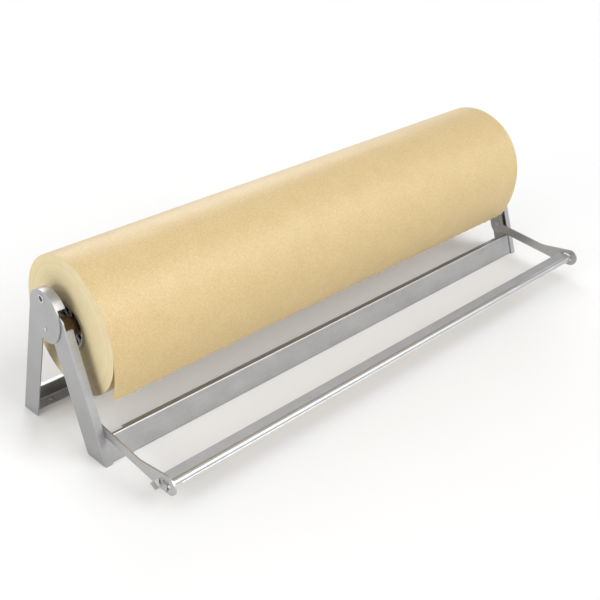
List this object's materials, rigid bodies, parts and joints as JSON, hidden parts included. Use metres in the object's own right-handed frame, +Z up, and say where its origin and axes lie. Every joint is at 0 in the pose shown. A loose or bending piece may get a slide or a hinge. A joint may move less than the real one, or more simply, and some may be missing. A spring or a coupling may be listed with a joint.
{
  "type": "counter roll paper dispenser",
  "caption": "Countertop dispenser for a wide roll of wrapping paper: bent steel end frames joined by rails, a lift-out axle and a hinged cutter bar on arms.",
  "frame": {"origin": "middle of the four mounting holes, on the counter that the rails stand on", "axes": "+X along the roll, +Y to the rear, away from the cutter bar, +Z up"},
  "size_m": [0.978, 0.3595, 0.2795],
  "materials": {
    "grey_steel": "light grey powder coat, fine satin texture",
    "zinc_plated": "dull zinc plate",
    "black_nylon": "moulded black nylon",
    "axle_steel": "bright drawn steel, lightly handled",
    "pressed_steel": "bright pressed steel",
    "turned_wood": "dark oiled hardwood",
    "cardboard": "spiral-wound board",
    "kraft_paper": "natural brown kraft with a fine fibre",
    "cutter_steel": "light grey powder coat, fine satin texture",
    "spring_steel": "blackened spring wire",
    "blade_steel": "plain rolled strip steel"
  },
  "bodies": {
    "frame": {"front_leg_left": "grey_steel", "front_leg_right": "grey_steel", "rear_leg_left": "grey_steel", "rear_leg_right": "grey_steel", "front_rail": "grey_steel", "rear_rail": "grey_steel", "head_eyelet_left": "zinc_plated", "head_eyelet_right": "zinc_plated", "head_rivet_left": "zinc_plated", "head_rivet_right": "zinc_plated", "arm_stud_left": "zinc_plated", "arm_stud_right": "zinc_plated", "arm_cap_left": "zinc_plated", "arm_cap_right": "zinc_plated", "axle_saddle_left": "black_nylon", "axle_saddle_right": "black_nylon"},
    "axle": {"axle_rod": "axle_steel", "axle_collar_left": "axle_steel", "axle_collar_right": "axle_steel"},
    "roll": {"core_plug_left": "pressed_steel", "core_plug_right": "pressed_steel", "wooden_hub_left": "turned_wood", "wooden_hub_right": "turned_wood", "cardboard_core": "cardboard", "paper_roll": "kraft_paper", "paper_tail": "kraft_paper"},
    "cutter": {"cutter_arm_left": "cutter_steel", "cutter_arm_right": "cutter_steel", "cutter_bar": "cutter_steel", "arm_spring_left": "spring_steel", "arm_spring_right": "spring_steel", "cutter_blade": "blade_steel"}
  },
  "joints": [
    {"name": "axle_lift", "type": "slide", "parent": "frame", "child": "axle", "axis": [0, -0.7314, 0.682], "range_m": [0, 0.25]},
    {"name": "roll_spin", "type": "hinge", "parent": "axle", "child": "roll", "pos_m": [0, -0.0082, 0.1746], "axis": [-1, 0, 0], "continuous": true},
    {"name": "cutter_swing", "type": "hinge", "parent": "frame", "child": "cutter", "pos_m": [0, -0.07075, 0.0546], "axis": [-1, 0, 0], "range_deg": [0, 78]}
  ]
}
